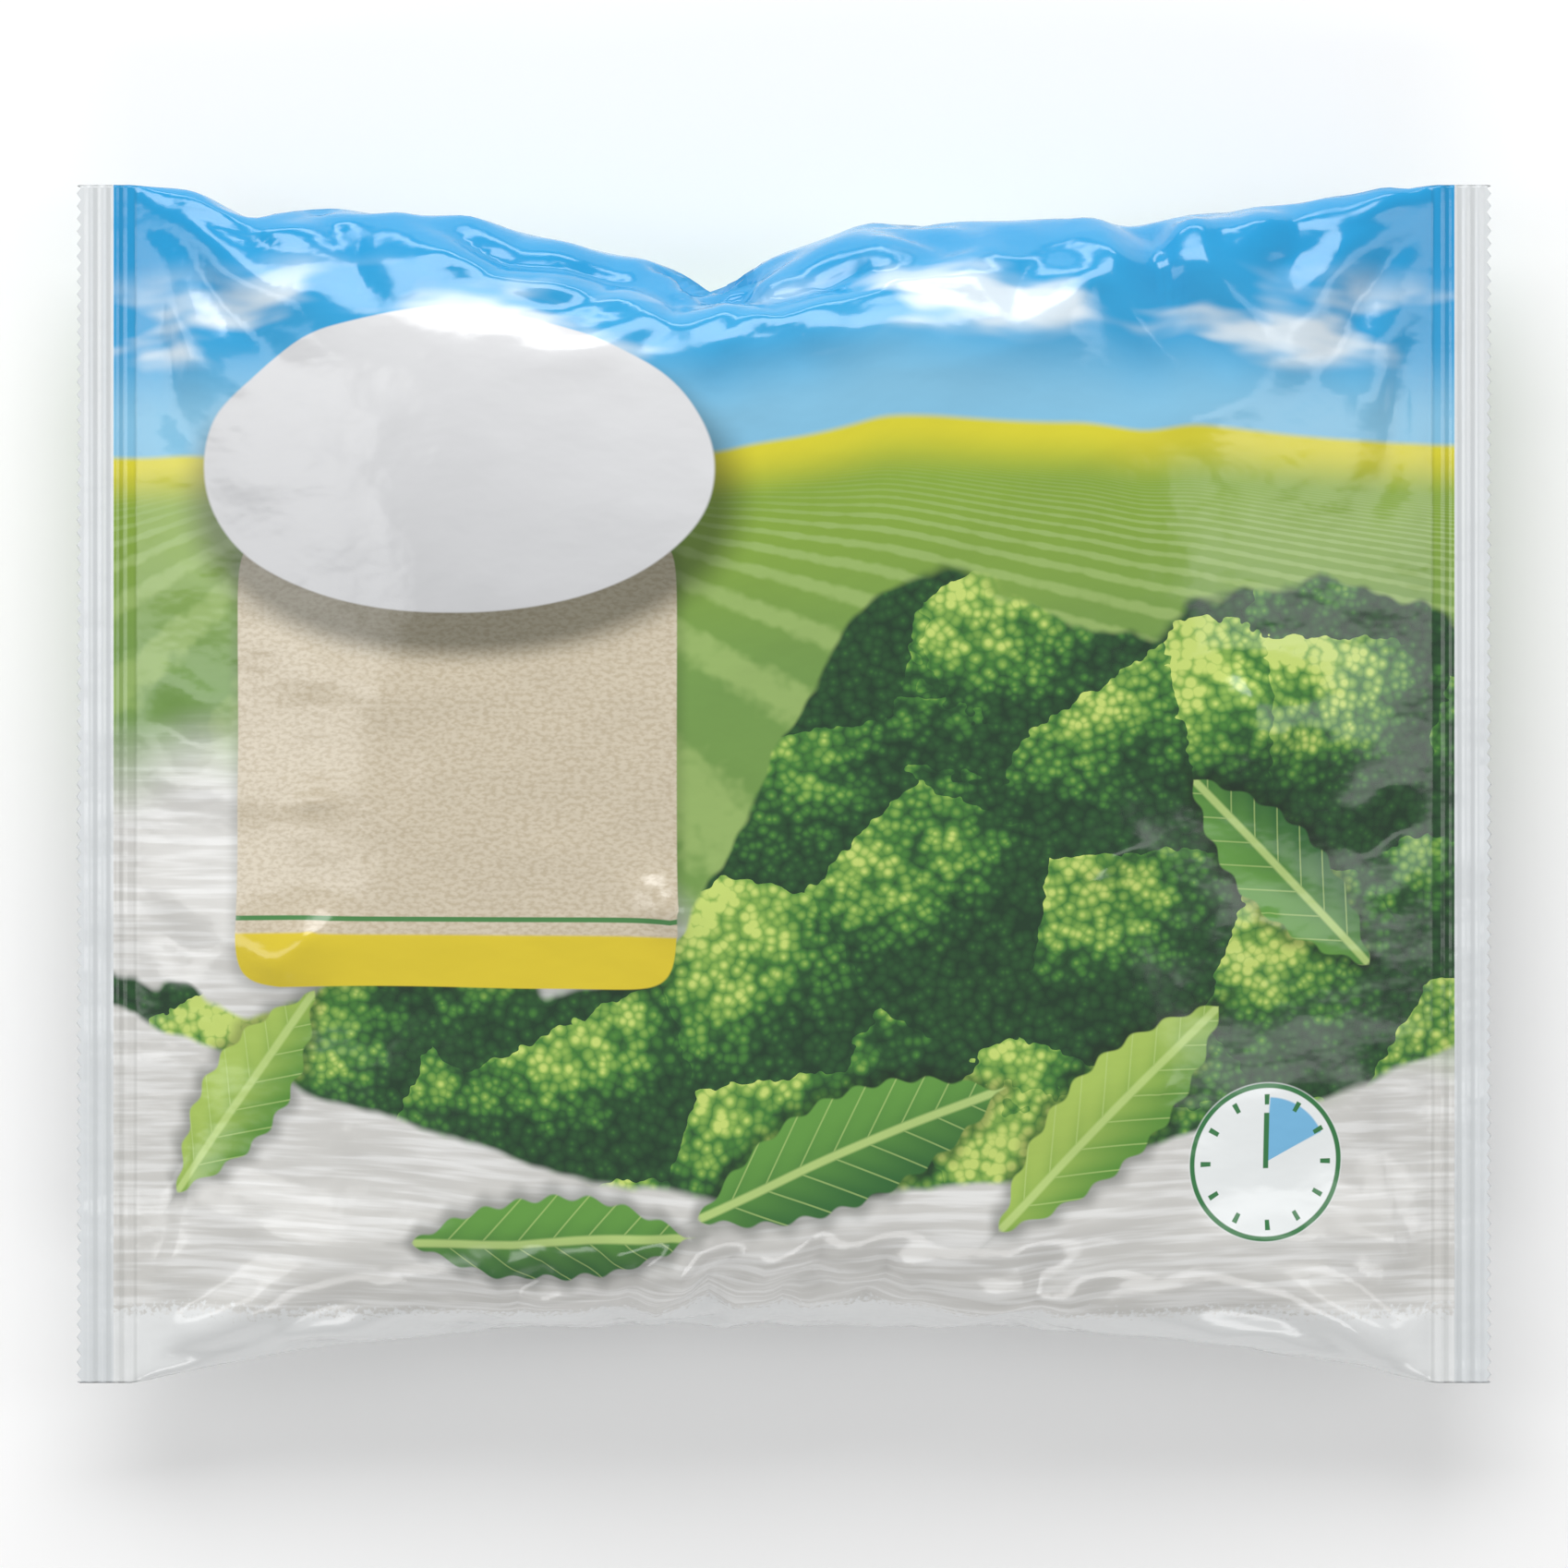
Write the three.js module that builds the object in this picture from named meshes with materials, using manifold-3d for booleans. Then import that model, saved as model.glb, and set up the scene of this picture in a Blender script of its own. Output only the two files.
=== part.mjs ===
// A pillow bag of frozen broccoli, lying on its back.
//
// The bag is one web of film: a tube with a fin seal along the middle of its back and a crimped,
// zigzag-cut seal at each end. It is modelled as a thin shell, and the florets lie loose inside it.
// Units are millimetres. +Z is up, +X runs from one end seal to the other, and the bag rests on z = 0.

import * as THREE from 'three';
import { mergeVertices } from 'three/addons/utils/BufferGeometryUtils.js';
import Module from 'manifold-3d';

// ---- Driving dimensions -------------------------------------------------------------------------

const BAG_LENGTH = 235;         // tooth tip to tooth tip
const BAG_WIDTH = 200;          // flat width, which the end seals keep
const WALL = 0.45;              // stands in for film of about 0.07
const HALF_THICKNESS = 28;      // of the filled bag at its middle, before it sags onto its back
const SEAL_HEIGHT = 22;         // where the filled bag holds its end seals

const SEAL_WIDTH = 9.6;         // tooth tips to the inner edge of the crimped band
const TOOTH_COUNT = 95;
const TOOTH_DEPTH = 0.7;
const RIB_COUNT = 4;
const RIB_PITCH = 2.17;
const RIB_WIDTH = 1.3;
const RIB_HEIGHT = 0.3;
const RIB_START = 0.8;          // from the inner edge of the crimped band to the first rib's middle

const FIN_WIDTH = 12;
const FIN_THICKNESS = 0.9;      // two plies of the film, folded flat against the back

const UPPER_NARROWING = 7;      // how far the filled bag draws in on its +Y side
const LOWER_NARROWING = 10;     // and on its -Y side
const PINCH_X = -11;            // the fold that dents the +Y side
const PINCH_DEPTH = 9;
const PINCH_RUN = { before: 40, after: 24 };
const PINCH_SHARPNESS = 1.15;   // 1 is a straight-sided dent

// Powers that set how full the pillow's curves are. 1 is an ellipse, and less is fuller.
const SIDE_FULLNESS = 0.92;
const TOP_FULLNESS = 0.85;
const BACK_FULLNESS = 0.7;
const END_FULLNESS = 0.75;      // of the depth from end to end, seen from the side
const END_TAPER = 2.4;          // the higher, the closer to the ends the depth stays whole
const SIDE_TAPER = 3;           // the same for the narrowing

const VENT_RADIUS = 0.6;        // pin-holes that let air out of the closed bag
const VENTS = [[-70, 52], [70, 52]];
const VENT_HEIGHT = 7;          // middle of the pins that make them, which pass the back only

const FLORET_COUNT = 26;
const FLORET_REACH = { least: 14.5, most: 18.5 };   // radius of the ball that a floret fits in
const FLORET_SIDES = 10;
const LOBE_DEPTH = 0.12;        // half of how far a crown draws in between its lobes, as a share
const FLORET_GAP = 0.5;
const LONGEST_PUSH = 0.25;      // in one round of settling
const SETTLING_ROUNDS = 1500;
const POUR = { columns: 7, rows: 4, alongX: 22, alongY: 26, stagger: 6, scatter: 12 };
const FILM_GAP = 2.2;           // covers the flats between the points that stand for the film

const END_X = BAG_LENGTH / 2 - SEAL_WIDTH;        // where the pocket closes
const STATIONS = 30;            // rings of the pillow, end to end
const SPOKES = 36;              // even steps around each ring
const FIN_EDGE = 0.3;           // how far the fin's edges spread as they step off the back
const FIN_CLEARANCE = 7;        // no even step comes closer to the fin's edges than this
const LEAST_RISE = 0.2;         // keeps the pocket open a little where it closes on the seals
const STATION_SPREAD = 1.35;    // spacing of the rings at the middle, against even spacing
const ROOT = 0.6;               // how far the seals and the pillow run into each other

// ---- Solids and cuts ----------------------------------------------------------------------------

const wasm = await Module();
wasm.setup();

function toSolid(geometry) {
  const bare = geometry.clone();
  bare.deleteAttribute('normal');
  bare.deleteAttribute('uv');
  const merged = mergeVertices(bare, 1e-5);
  return new wasm.Manifold(new wasm.Mesh({
    numProp: 3,
    vertProperties: Float32Array.from(merged.attributes.position.array),
    triVerts: Uint32Array.from(merged.index.array),
  }));
}

function toGeometry(solid) {
  const mesh = solid.getMesh();
  const geometry = new THREE.BufferGeometry();
  geometry.setAttribute('position', new THREE.BufferAttribute(mesh.vertProperties, 3));
  geometry.setIndex(new THREE.BufferAttribute(mesh.triVerts, 1));
  geometry.computeVertexNormals();
  return geometry;
}

// ---- The pillow's shape -------------------------------------------------------------------------

const signedPower = (value, power) => Math.sign(value) * Math.abs(value) ** power;

// The tent-shaped dent where the +Y side is pinched, from 0 to 1.
function pinch(x) {
  const run = x < PINCH_X ? PINCH_RUN.before : PINCH_RUN.after;
  return Math.max(0, 1 - Math.abs(x - PINCH_X) / run) ** PINCH_SHARPNESS;
}

// The pocket is full width and flat where it closes, and narrows as it fills.
function halfWidth(x, side) {
  const along = Math.min(1, Math.abs(x) / END_X);
  const filled = 1 - along ** SIDE_TAPER;
  if (side > 0) {
    return BAG_WIDTH / 2 - UPPER_NARROWING * filled - PINCH_DEPTH * pinch(x);
  }
  return BAG_WIDTH / 2 - LOWER_NARROWING * filled;
}

function halfThickness(x) {
  const along = Math.min(1, Math.abs(x) / END_X);
  return HALF_THICKNESS * (1 - along ** END_TAPER) ** END_FULLNESS;
}

// The steps around a ring, from the +Y edge over the top. Each is an angle, or the y of a fin's edge.
function spokes() {
  const steps = [];
  for (let j = 0; j < SPOKES; j++) {
    const turn = 2 * Math.PI * j / SPOKES;
    const y = BAG_WIDTH / 2 * Math.cos(turn);
    const nearFin = Math.sin(turn) < 0 && y > -FIN_WIDTH - FIN_CLEARANCE && y < FIN_CLEARANCE;
    if (!nearFin) {
      steps.push({ turn });
    }
  }
  const firstAfterFin = steps.findIndex(({ turn }) => turn > 1.5 * Math.PI);
  const edges = [
    { y: -FIN_WIDTH - FIN_EDGE, fin: 0 },
    { y: -FIN_WIDTH, fin: 1 },
    { y: 0, fin: 1 },
    { y: FIN_EDGE, fin: 0 },
  ];
  steps.splice(firstAfterFin, 0, ...edges);
  return steps;
}

// A point of the film at `x`. `offset` moves the surface out from the middle of the wall. The back
// lies flat on z = 0, and the fin stands out from it.
function filmPoint(x, step, offset) {
  const angled = step.turn !== undefined;
  const reach = side => halfWidth(x, side) - WALL + offset;
  let across = Math.cos(step.turn);
  let up = Math.sin(step.turn);
  if (!angled) {
    across = signedPower(step.y / reach(step.y), 1 / SIDE_FULLNESS);
    up = -Math.sqrt(1 - across * across);
  }
  const y = angled ? signedPower(across, SIDE_FULLNESS) * reach(across) : step.y;
  const fullness = up > 0 ? TOP_FULLNESS : BACK_FULLNESS;
  const rise = signedPower(up, fullness) * (halfThickness(x) + LEAST_RISE);
  // The wall's offset turns from sideways to upright within a quarter of the way round.
  const wall = Math.sign(up) * Math.min(1, 4 * Math.abs(up)) * offset;
  const fin = step.fin ? FIN_THICKNESS : 0;
  const lowest = offset > 0 ? 0 : WALL + fin;
  const proud = offset > 0 ? fin : 0;
  return new THREE.Vector3(x, y, Math.max(lowest, SEAL_HEIGHT + rise + wall - proud));
}

// Rings stand closer together near the ends, where the pocket opens fast.
function stationX(index, reach) {
  const along = 2 * index / (STATIONS - 1) - 1;
  return reach * (STATION_SPREAD * along - (STATION_SPREAD - 1) * along ** 3);
}

function pillowGeometry(offset, reach) {
  const around = spokes();
  const ring = around.length;
  const points = [];
  const triangles = [];
  for (let i = 0; i < STATIONS; i++) {
    for (const step of around) {
      points.push(filmPoint(stationX(i, reach), step, offset));
    }
  }
  for (let i = 0; i + 1 < STATIONS; i++) {
    for (let j = 0; j < ring; j++) {
      const next = (j + 1) % ring;
      const [a, b] = [i * ring + j, i * ring + next];
      triangles.push(a, b, b + ring, a, b + ring, a + ring);
    }
  }
  // Each end closes round a point in its middle.
  const [first, last] = [points.length, points.length + 1];
  points.push(new THREE.Vector3(-reach, 0, SEAL_HEIGHT), new THREE.Vector3(reach, 0, SEAL_HEIGHT));
  const lastRing = (STATIONS - 1) * ring;
  for (let j = 0; j < ring; j++) {
    const next = (j + 1) % ring;
    triangles.push(first, next, j);
    triangles.push(last, lastRing + j, lastRing + next);
  }
  const geometry = new THREE.BufferGeometry();
  geometry.setFromPoints(points);
  geometry.setIndex(triangles);
  return geometry;
}

// The hollow inside the film.
function pocketGeometry() {
  return pillowGeometry(-WALL / 2, END_X - ROOT);
}

// ---- End seals ----------------------------------------------------------------------------------

// The crimped band in section, with its ribs, run across the whole width of the bag.
function crimpedBand() {
  const inner = END_X - ROOT;
  const ridge = [];
  for (let rib = 0; rib < RIB_COUNT; rib++) {
    const middle = END_X + RIB_START + rib * RIB_PITCH;
    ridge.push([middle - RIB_WIDTH / 2, 0], [middle - RIB_WIDTH / 5, RIB_HEIGHT]);
    ridge.push([middle + RIB_WIDTH / 5, RIB_HEIGHT], [middle + RIB_WIDTH / 2, 0]);
  }
  const line = [[inner, 0], ...ridge, [BAG_LENGTH / 2 + 1, 0]];
  const top = line.map(([x, rise]) => new THREE.Vector2(x, WALL + rise));
  const underside = line.map(([x, rise]) => new THREE.Vector2(x, rise - WALL)).reverse();
  const section = new THREE.Shape([...top, ...underside]);
  const band = new THREE.ExtrudeGeometry(section, { depth: BAG_WIDTH, bevelEnabled: false });
  band.rotateX(Math.PI / 2);
  band.translate(0, BAG_WIDTH / 2, SEAL_HEIGHT);
  return toSolid(band);
}

// The flattened end of the fin seal, caught in the crimped band.
function finEnd() {
  const length = SEAL_WIDTH + 2 * ROOT;
  const depth = FIN_THICKNESS + WALL;
  const strip = new THREE.BoxGeometry(length, FIN_WIDTH, depth);
  const lowest = SEAL_HEIGHT - WALL - FIN_THICKNESS;
  strip.translate(END_X - ROOT + length / 2, -FIN_WIDTH / 2, lowest + depth / 2);
  return toSolid(strip);
}

// What the zigzag knife leaves of the band.
function zigzagPlate() {
  const pitch = BAG_WIDTH / TOOTH_COUNT;
  const tip = BAG_LENGTH / 2;
  const depth = 4 * (WALL + RIB_HEIGHT + FIN_THICKNESS);
  const outline = [new THREE.Vector2(END_X - 1, -BAG_WIDTH / 2 - 1)];
  outline.push(new THREE.Vector2(tip - TOOTH_DEPTH, -BAG_WIDTH / 2 - 1));
  for (let tooth = 0; tooth < TOOTH_COUNT; tooth++) {
    const start = -BAG_WIDTH / 2 + tooth * pitch;
    outline.push(new THREE.Vector2(tip - TOOTH_DEPTH, start));
    outline.push(new THREE.Vector2(tip, start + pitch / 2));
  }
  outline.push(new THREE.Vector2(tip - TOOTH_DEPTH, BAG_WIDTH / 2));
  outline.push(new THREE.Vector2(tip - TOOTH_DEPTH, BAG_WIDTH / 2 + 1));
  outline.push(new THREE.Vector2(END_X - 1, BAG_WIDTH / 2 + 1));
  const plate = new THREE.ExtrudeGeometry(new THREE.Shape(outline), { depth, bevelEnabled: false });
  plate.translate(0, 0, SEAL_HEIGHT - depth / 2);
  return toSolid(plate);
}

function endSeal() {
  return crimpedBand().add(finEnd()).intersect(zigzagPlate());
}

// ---- The film -----------------------------------------------------------------------------------

function film() {
  const seal = endSeal();
  let solid = toSolid(pillowGeometry(WALL / 2, END_X));
  solid = solid.add(seal).add(seal.mirror([1, 0, 0]));
  solid = solid.subtract(toSolid(pocketGeometry()));
  for (const [x, y] of VENTS) {
    const pin = new THREE.CylinderGeometry(VENT_RADIUS, VENT_RADIUS, SEAL_HEIGHT, 8);
    pin.rotateX(Math.PI / 2);
    pin.translate(x, y, VENT_HEIGHT);
    solid = solid.subtract(toSolid(pin));
  }
  return toGeometry(solid);
}

// ---- The florets --------------------------------------------------------------------------------

// A repeatable number from 0 to 1 for each piece and purpose.
function spread(index, purpose) {
  const wave = Math.sin(index * 12.9898 + purpose * 78.233) * 43758.5453;
  return wave - Math.floor(wave);
}

function nearestPoint(points, place) {
  let nearest = points[0];
  for (const point of points) {
    if (point.distanceToSquared(place) < nearest.distanceToSquared(place)) {
      nearest = point;
    }
  }
  return nearest;
}

// The florets settle as balls: each is pushed off its neighbours and off the film, again and again.
function settledFlorets() {
  const skin = pocketGeometry().attributes.position;
  const filmPoints = [];
  for (let i = 0; i < skin.count; i++) {
    filmPoints.push(new THREE.Vector3().fromBufferAttribute(skin, i));
  }
  const balls = [];
  for (let i = 0; i < FLORET_COUNT; i++) {
    const column = i % POUR.columns;
    const row = Math.floor(i / POUR.columns);
    const reach = THREE.MathUtils.lerp(FLORET_REACH.least, FLORET_REACH.most, spread(i, 1));
    const place = new THREE.Vector3(
      (column - (POUR.columns - 1) / 2) * POUR.alongX,
      (row - (POUR.rows - 1) / 2) * POUR.alongY + (column % 2 ? POUR.stagger : -POUR.stagger),
      SEAL_HEIGHT + (spread(i, 2) - 0.3) * POUR.scatter,
    );
    balls.push({ place, reach });
  }
  const push = new THREE.Vector3();
  for (let round = 0; round < SETTLING_ROUNDS; round++) {
    for (const ball of balls) {
      for (const other of balls) {
        push.subVectors(ball.place, other.place);
        const short = ball.reach + other.reach + FLORET_GAP - push.length();
        if (other !== ball && short > 0) {
          push.setLength(Math.min(short / 2, LONGEST_PUSH));
          ball.place.add(push);
          other.place.sub(push);
        }
      }
      const nearest = nearestPoint(filmPoints, ball.place);
      push.subVectors(ball.place, nearest);
      const short = ball.reach + FILM_GAP - push.length();
      if (short > 0) {
        ball.place.add(push.setLength(short));
      }
    }
  }
  return balls;
}

// Half of a floret in section, in units of its reach: cut stem, flare, underside and dome.
const FLORET_SECTION = [
  [0, -0.94], [0.33, -0.91], [0.36, -0.72], [0.32, -0.38], [0.52, -0.16], [0.84, 0.02],
  [0.9, 0.26], [0.78, 0.56], [0.46, 0.84], [0, 0.95],
];

function floret(index, reach) {
  const profile = FLORET_SECTION.map(([r, y]) => new THREE.Vector2(r * reach, y * reach));
  const geometry = new THREE.LatheGeometry(profile, FLORET_SIDES);
  const position = geometry.attributes.position;
  const lobes = 3 + index % 3;
  const phase = spread(index, 3) * Math.PI * 2;
  for (let i = 0; i < position.count; i++) {
    const [x, y, z] = [position.getX(i), position.getY(i), position.getZ(i)];
    const crown = THREE.MathUtils.smoothstep(y, -0.3 * reach, 0.1 * reach);
    const swell = 1 - LOBE_DEPTH * crown * (1 - Math.sin(lobes * Math.atan2(z, x) + phase));
    position.setXYZ(i, x * swell, y, z * swell);
  }
  return toGeometry(toSolid(geometry));
}

// ---- Assembly -----------------------------------------------------------------------------------

const group = new THREE.Group();

const filmMesh = new THREE.Mesh(
  film(),
  new THREE.MeshStandardMaterial({ color: 0x5fa9d0, roughness: 0.25, metalness: 0 }),
);
filmMesh.name = 'film';
group.add(filmMesh);

settledFlorets().forEach(({ place, reach }, index) => {
  const mesh = new THREE.Mesh(
    floret(index, reach),
    new THREE.MeshStandardMaterial({ color: 0x4d7a2c, roughness: 0.8, metalness: 0 }),
  );
  mesh.name = `floret_${String(index + 1).padStart(2, '0')}`;
  mesh.position.copy(place);
  mesh.rotation.set(
    spread(index, 4) * Math.PI * 2,
    spread(index, 5) * Math.PI * 2,
    spread(index, 6) * Math.PI * 2,
  );
  group.add(mesh);
});

export default group;
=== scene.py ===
"""Looks of a frozen vegetable pillow bag that lies on its back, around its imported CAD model."""

import math

import bpy
import numpy as np
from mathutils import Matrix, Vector, noise
from mathutils.bvhtree import BVHTree


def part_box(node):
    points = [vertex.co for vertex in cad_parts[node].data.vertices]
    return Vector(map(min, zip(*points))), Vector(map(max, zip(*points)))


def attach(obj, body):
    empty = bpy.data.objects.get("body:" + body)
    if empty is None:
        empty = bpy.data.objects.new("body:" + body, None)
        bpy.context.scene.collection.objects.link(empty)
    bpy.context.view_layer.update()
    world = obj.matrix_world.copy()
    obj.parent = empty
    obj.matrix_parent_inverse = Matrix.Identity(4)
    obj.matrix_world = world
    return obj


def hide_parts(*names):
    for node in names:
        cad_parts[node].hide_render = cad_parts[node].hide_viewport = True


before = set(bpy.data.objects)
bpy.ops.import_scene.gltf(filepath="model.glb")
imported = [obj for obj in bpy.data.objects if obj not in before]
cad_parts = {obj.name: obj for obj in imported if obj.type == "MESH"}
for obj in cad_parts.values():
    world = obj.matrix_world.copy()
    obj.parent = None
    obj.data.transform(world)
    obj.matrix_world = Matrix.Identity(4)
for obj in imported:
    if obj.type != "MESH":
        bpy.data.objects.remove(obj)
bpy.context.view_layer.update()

MM = 0.001

# ---- Sizes, from the frame and in metres ---------------------------------------------------------

film_low, film_high = (Vector(corner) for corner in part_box("film"))
BAG_LENGTH = film_high.x - film_low.x
BAG_WIDTH = film_high.y - film_low.y
GIRTH = 2 * BAG_WIDTH
TOP = film_high.z
SEAL_HEIGHT = 22 * MM
SEAL_WIDTH = 9.6 * MM
TIP = BAG_LENGTH / 2
END = TIP - SEAL_WIDTH
HALF_PLY = 0.08 * MM            # half of the two plies of a seal
FILM_WALL = 0.35 * MM
INNER_DETAIL = 0.34             # share of the outer skin's faces that the inside keeps

TEETH = 96
TOOTH_DEPTH = 0.7 * MM
TOOTH_REACH = 1.4 * MM          # how far in from the tips the cut pulls the mesh
RIBS = 4
RIB_PITCH = 2.17 * MM
FIRST_RIB = END + 0.8 * MM
RIB_HEIGHT = 0.5 * MM

FIN_WIDTH = 12 * MM
FIN_THICKNESS = 0.25 * MM

COLUMNS = 2 * TEETH             # of the web's mesh, round the girth
POCKET_ROWS = 72                # of the web's mesh, along the pocket
SEAL_ROWS = 12                  # along each end seal
SPARE_LENGTH = 1.035            # flat length of the pocket against its filled length

UPPER_NARROWING, LOWER_NARROWING = 7 * MM, 10 * MM
PINCHES = [                     # dents of the +Y side: x, depth, run before and after
    (-11 * MM, 9.5 * MM, 44 * MM, 27 * MM),
    (-88 * MM, 2.2 * MM, 10 * MM, 12 * MM),
    (58 * MM, 1.5 * MM, 10 * MM, 8 * MM),
]
CREASES = [                     # of the front, in millimetres: from, to, depth, half width
    ((-11, 87), (-25, 70), 2.0, 6.0), ((-10, 87), (6, 68), 1.7, 5.0), ((-16, 86), (-52, 75), 1.3, 6.0),
    ((-5, 86), (34, 79), 1.5, 6.0), ((-54, 90), (-11, 79.5), 2.2, 3.0), ((-11, 79.5), (22, 87), 2.0, 3.0),
    ((57, 96), (73, 66), 2.4, 5.0), ((44, 92), (36, 74), 1.3, 6.0),
    ((-77, 96), (-66, 78), 1.5, 6.0), ((-40, 92), (-58, 78), 1.0, 6.0), ((86, 95), (80, 80), 1.2, 5.0),
    ((-108, 96), (-82, 68), 1.7, 5.5), ((-108, 88), (-97, 50), 1.5, 4.5), ((-107, 98), (-70, 84), 1.4, 5.0),
    ((108, 96), (86, 64), 1.8, 5.5), ((108, 86), (98, 44), 1.5, 4.5), ((107, 98), (76, 82), 1.2, 5.0),
    ((-108, -96), (-84, -72), 1.6, 5.0), ((-108, -84), (-97, -48), 1.4, 4.5),
    ((-106, -98), (-66, -84), 1.3, 4.5),
    ((108, -96), (84, -70), 1.6, 5.0), ((108, -84), (98, -46), 1.4, 4.5), ((106, -98), (64, -84), 1.3, 4.5),
    ((-26, -85), (-16, -71), 1.3, 3.2), ((-14, -86), (-5, -72), 1.5, 3.4), ((0, -85), (9, -73), 1.2, 3.0),
    ((14, -85), (19, -75), 1.0, 3.0), ((-44, -86), (-38, -76), 1.0, 3.4), ((40, -87), (46, -76), 0.9, 3.4),
    ((-108, 10), (-92, 6), 1.0, 5.0), ((108, -6), (93, -12), 1.0, 5.0), ((-108, -24), (-94, -28), 0.9, 4.5),
]
CRUMPLE = 1.1 * MM              # how deep the broad crumpling goes
FLORET_CLEARANCE = 0.9 * MM
SETTLING_FRAMES = 18
FILLING_FRAMES = 12


# ---- Small helpers -------------------------------------------------------------------------------

def deselect():
    if bpy.context.object and bpy.context.object.mode != "OBJECT":
        bpy.ops.object.mode_set(mode="OBJECT")
    bpy.ops.object.select_all(action="DESELECT")


def make_active(piece):
    deselect()
    piece.select_set(True)
    bpy.context.view_layer.objects.active = piece


def points_of(mesh):
    found = np.empty(len(mesh.vertices) * 3)
    mesh.vertices.foreach_get("co", found)
    return found.reshape(-1, 3)


def set_points(mesh, points):
    mesh.vertices.foreach_set("co", np.asarray(points).ravel())
    mesh.update()


def normals_of(mesh):
    found = np.empty(len(mesh.vertices) * 3)
    mesh.vertices.foreach_get("normal", found)
    return found.reshape(-1, 3)


def smooth_step(x, low, high):
    t = np.clip((x - low) / (high - low), 0, 1)
    return t * t * (3 - 2 * t)


# ---- The web of film -----------------------------------------------------------------------------

def web_rows():
    """Where the web's rows lie along the bag, close together in the seals."""
    seal = np.linspace(TIP, END, SEAL_ROWS + 1)
    pocket = np.linspace(-END, END, POCKET_ROWS + 1)
    return np.concatenate([-seal[:-1], pocket, seal[::-1][1:]])


def pinched(x):
    """How far the +Y side is dented at x."""
    depth = 0.0
    for middle, deepest, before, after in PINCHES:
        run = before if x < middle else after
        depth += deepest * max(0.0, 1 - abs(x - middle) / run) ** 1.1
    return depth


def ring(x):
    """A closed section of the filled pocket at x: (y, z) from the +Y edge over the top, by angle."""
    along = min(1.0, abs(x) / END)
    filled = 1 - along ** 3
    upper = BAG_WIDTH / 2 - UPPER_NARROWING * filled - pinched(x)
    lower = BAG_WIDTH / 2 - LOWER_NARROWING * filled
    depth = (TOP - SEAL_HEIGHT) * (1 - along ** 2.4) ** 0.75
    turn = np.linspace(0, 2 * math.pi, 721)
    across, up = np.cos(turn), np.sin(turn)
    y = np.sign(across) * np.abs(across) ** 0.92 * np.where(across > 0, upper, lower)
    fullness = np.where(up > 0, 0.85, 0.7)
    rise = np.sign(up) * np.abs(up) ** fullness * np.maximum(depth, HALF_PLY)
    return y, np.maximum(SEAL_HEIGHT + rise, 0)


def filled_points(u, v):
    """The filled bag's points for the places (u, v) of the web, v from the middle of the front."""
    points = np.empty((len(u), 3))
    front = np.abs(v) <= BAG_WIDTH / 2 + 1e-9
    for x in np.unique(u):
        y, z = ring(x)
        half = len(y) // 2
        over = (y[:half + 1], z[:half + 1])
        under = (y[half:], z[half:])
        for (ys, zs), side in ((over, front), (under, ~front)):
            here = (u == x) & side
            length = np.concatenate([[0], np.cumsum(np.hypot(np.diff(ys), np.diff(zs)))])
            share = np.where(side[here], 0.5 - v[here] / BAG_WIDTH, 0)
            if side is not front:
                from_edge = np.where(v[here] < 0, -v[here], GIRTH - v[here]) - BAG_WIDTH / 2
                share = from_edge / BAG_WIDTH
            points[here, 0] = x
            points[here, 1] = np.interp(share * length[-1], length, ys)
            points[here, 2] = np.interp(share * length[-1], length, zs)
    return points


def with_lumps(points):
    """Pushes the filled pocket out over the loose pieces that lie under it."""
    inside = smooth_step(END - np.abs(points[:, 0]), 8 * MM, 40 * MM)
    above = smooth_step(points[:, 2], 8 * MM, 25 * MM)
    lumps = np.array([
        noise.noise(Vector(p) * 34) * 2.6 + noise.noise(Vector(p) * 75 + Vector((7, 3, 1))) * 1.1
        for p in points])
    moved = points.copy()
    moved[:, 2] += lumps * inside * above * MM
    return moved


def flat_points(u, v):
    """The same places on the web laid flat, as a tube with nothing in it."""
    pocket = np.clip(u, -END, END)
    back = np.abs(v) > BAG_WIDTH / 2
    points = np.empty((len(u), 3))
    points[:, 0] = pocket * SPARE_LENGTH + (u - pocket)
    points[:, 1] = np.where(back, np.sign(v) * BAG_WIDTH - v, v)
    points[:, 2] = SEAL_HEIGHT + np.where(back, -HALF_PLY, HALF_PLY)
    return points


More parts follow.
